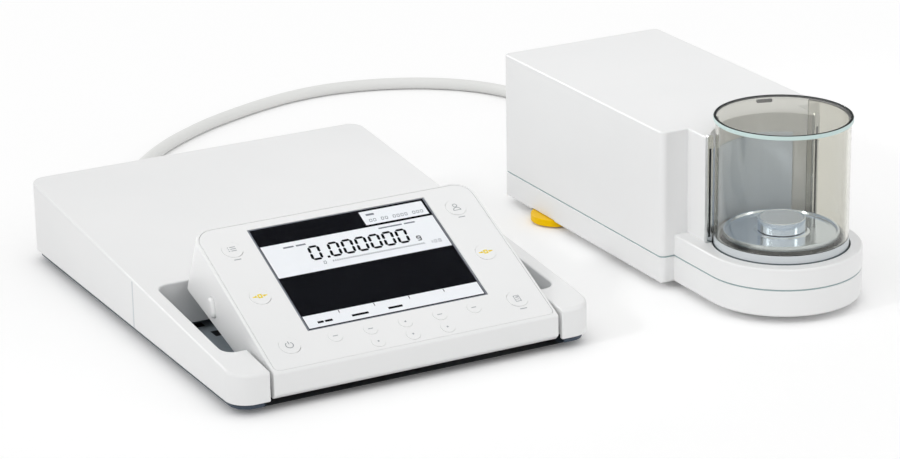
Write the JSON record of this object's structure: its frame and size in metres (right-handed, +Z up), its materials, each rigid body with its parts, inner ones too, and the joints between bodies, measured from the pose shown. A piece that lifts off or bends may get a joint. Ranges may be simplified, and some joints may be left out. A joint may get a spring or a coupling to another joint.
{
  "type": "micro balance",
  "caption": "Laboratory micro balance: low control unit with a tilting keyed display, cabled to a weighing module with a round glass draft shield.",
  "frame": {"origin": "on the table, in the middle of the box round both units without the cable and its fittings", "axes": "+X to the right from the control unit to the weighing module, +Y to the back, +Z up"},
  "size_m": [0.45, 0.588, 0.1196],
  "materials": {
    "white_plastic": "fine satin texture",
    "key_plastic": "satin",
    "slate_plastic": "satin",
    "rubber": "matt",
    "steel": "satin",
    "polished_steel": "polished",
    "board": "satin",
    "dark_plastic": "matt",
    "cable_grey": "matt",
    "window": "clear",
    "screen": "semi-gloss",
    "seal": "matt",
    "back_sheet": "satin",
    "clear_glass": "clear, faint grey tint",
    "ring_grey": "satin",
    "motor": "satin",
    "gear_plastic": "satin",
    "aluminium": "machined",
    "brass": "satin",
    "yellow_plastic": "semi-gloss"
  },
  "bodies": {
    "housings": {"control_base_tray": "slate_plastic", "control_top_cover": "white_plastic", "control_rear_skirt": "white_plastic", "control_feet": "rubber", "control_screws": "steel", "main_board": "board", "power_inlet": "dark_plastic", "module_cable": "cable_grey", "cable_relief": "cable_grey", "cable_plug": "cable_grey", "module_socket": "dark_plastic", "hinge_pins": "steel", "module_base": "white_plastic", "module_cover": "white_plastic", "seam_seal": "seal", "front_plate": "white_plastic", "column_trims": "polished_steel", "chamber_back": "back_sheet", "door_motor": "motor", "chamber_floor": "polished_steel", "pan_carrier": "aluminium", "weigh_cell_block": "aluminium", "weigh_lever": "brass", "magnet_pot": "motor", "module_board": "board", "front_foot": "rubber", "module_screws": "steel"},
    "display": {"display_housing": "white_plastic", "display_back_cover": "white_plastic", "key_panel": "white_plastic", "screen_window": "window", "screen_unit": "screen", "display_board": "board"},
    "key_menu": {"key_menu": "key_plastic"},
    "key_tare_left": {"key_tare_left": "key_plastic"},
    "key_power": {"key_power": "key_plastic"},
    "key_user": {"key_user": "key_plastic"},
    "key_tare_right": {"key_tare_right": "key_plastic"},
    "key_print": {"key_print": "key_plastic"},
    "key_screen_1": {"key_screen_1": "key_plastic"},
    "key_screen_2": {"key_screen_2": "key_plastic"},
    "key_screen_3": {"key_screen_3": "key_plastic"},
    "key_screen_4": {"key_screen_4": "key_plastic"},
    "key_up": {"key_up": "key_plastic"},
    "key_left": {"key_left": "key_plastic"},
    "key_down": {"key_down": "key_plastic"},
    "key_right": {"key_right": "key_plastic"},
    "release_button_left": {"release_button_left": "white_plastic"},
    "release_button_right": {"release_button_right": "white_plastic"},
    "door": {"door_glass": "clear_glass", "door_ring": "ring_grey"},
    "door_drive": {"door_pinion": "gear_plastic"},
    "lid": {"lid_glass": "clear_glass", "lid_tab": "dark_plastic"},
    "pan": {"weighing_pan": "polished_steel"},
    "foot_left": {"levelling_pad_left": "rubber"},
    "wheel_left": {"levelling_wheel_left": "yellow_plastic"},
    "foot_right": {"levelling_pad_right": "rubber"},
    "wheel_right": {"levelling_wheel_right": "yellow_plastic"}
  },
  "joints": [
    {"name": "display_tilt", "type": "hinge", "parent": "housings", "child": "display", "pos_m": [-0.105, -0.13275, 0.014], "axis": [1, 0, 0], "range_deg": [0, 20]},
    {"name": "key_menu_press", "type": "slide", "parent": "display", "child": "key_menu", "axis": [0, 0.4115, -0.9114], "range_m": [0, 0.0005], "stiffness_N_per_m": 1500},
    {"name": "key_tare_left_press", "type": "slide", "parent": "display", "child": "key_tare_left", "axis": [0, 0.4115, -0.9114], "range_m": [0, 0.0005], "stiffness_N_per_m": 1500},
    {"name": "key_power_press", "type": "slide", "parent": "display", "child": "key_power", "axis": [0, 0.4115, -0.9114], "range_m": [0, 0.0005], "stiffness_N_per_m": 1500},
    {"name": "key_user_press", "type": "slide", "parent": "display", "child": "key_user", "axis": [0, 0.4115, -0.9114], "range_m": [0, 0.0005], "stiffness_N_per_m": 1500},
    {"name": "key_tare_right_press", "type": "slide", "parent": "display", "child": "key_tare_right", "axis": [0, 0.4115, -0.9114], "range_m": [0, 0.0005], "stiffness_N_per_m": 1500},
    {"name": "key_print_press", "type": "slide", "parent": "display", "child": "key_print", "axis": [0, 0.4115, -0.9114], "range_m": [0, 0.0005], "stiffness_N_per_m": 1500},
    {"name": "key_screen_1_press", "type": "slide", "parent": "display", "child": "key_screen_1", "axis": [0, 0.4115, -0.9114], "range_m": [0, 0.0005], "stiffness_N_per_m": 1500},
    {"name": "key_screen_2_press", "type": "slide", "parent": "display", "child": "key_screen_2", "axis": [0, 0.4115, -0.9114], "range_m": [0, 0.0005], "stiffness_N_per_m": 1500},
    {"name": "key_screen_3_press", "type": "slide", "parent": "display", "child": "key_screen_3", "axis": [0, 0.4115, -0.9114], "range_m": [0, 0.0005], "stiffness_N_per_m": 1500},
    {"name": "key_screen_4_press", "type": "slide", "parent": "display", "child": "key_screen_4", "axis": [0, 0.4115, -0.9114], "range_m": [0, 0.0005], "stiffness_N_per_m": 1500},
    {"name": "key_up_press", "type": "slide", "parent": "display", "child": "key_up", "axis": [0, 0.4115, -0.9114], "range_m": [0, 0.0005], "stiffness_N_per_m": 1500},
    {"name": "key_left_press", "type": "slide", "parent": "display", "child": "key_left", "axis": [0, 0.4115, -0.9114], "range_m": [0, 0.0005], "stiffness_N_per_m": 1500},
    {"name": "key_down_press", "type": "slide", "parent": "display", "child": "key_down", "axis": [0, 0.4115, -0.9114], "range_m": [0, 0.0005], "stiffness_N_per_m": 1500},
    {"name": "key_right_press", "type": "slide", "parent": "display", "child": "key_right", "axis": [0, 0.4115, -0.9114], "range_m": [0, 0.0005], "stiffness_N_per_m": 1500},
    {"name": "release_left_press", "type": "slide", "parent": "display", "child": "release_button_left", "axis": [1, 0, 0], "range_m": [0, 0.0013], "stiffness_N_per_m": 400},
    {"name": "release_right_press", "type": "slide", "parent": "display", "child": "release_button_right", "axis": [-1, 0, 0], "range_m": [0, 0.0013], "stiffness_N_per_m": 400},
    {"name": "door_turn", "type": "hinge", "parent": "housings", "child": "door", "pos_m": [0.1575, -0.12825, 0.04], "axis": [0, 0, 1], "range_deg": [-100, 100]},
    {"name": "pinion_turn", "type": "hinge", "parent": "housings", "child": "door_drive", "pos_m": [0.18758, -0.12825, 0.03], "axis": [0, 0, 1], "range_deg": [-500, 500]},
    {"name": "lid_lift", "type": "slide", "parent": "housings", "child": "lid", "axis": [0, 0, 1], "range_m": [0, 0.06]},
    {"name": "pan_lift", "type": "slide", "parent": "housings", "child": "pan", "axis": [0, 0, 1], "range_m": [0, 0.05]},
    {"name": "foot_left_slide", "type": "slide", "parent": "housings", "child": "foot_left", "axis": [0, 0, -1], "range_m": [0, 0.004]},
    {"name": "wheel_left_turn", "type": "hinge", "parent": "foot_left", "child": "wheel_left", "pos_m": [0.107, 0.06725, 0.003], "axis": [0, 0, -1], "range_deg": [0, 1440]},
    {"name": "foot_right_slide", "type": "slide", "parent": "housings", "child": "foot_right", "axis": [0, 0, -1], "range_m": [0, 0.004]},
    {"name": "wheel_right_turn", "type": "hinge", "parent": "foot_right", "child": "wheel_right", "pos_m": [0.208, 0.06725, 0.003], "axis": [0, 0, -1], "range_deg": [0, 1440]}
  ],
  "couplings": [
    {"joint": "pinion_turn", "follows": "door_turn", "ratio": 5},
    {"joint": "wheel_left_turn", "follows": "foot_left_slide", "rad_per_m": 6283.2},
    {"joint": "wheel_right_turn", "follows": "foot_right_slide", "rad_per_m": 6283.2}
  ]
}
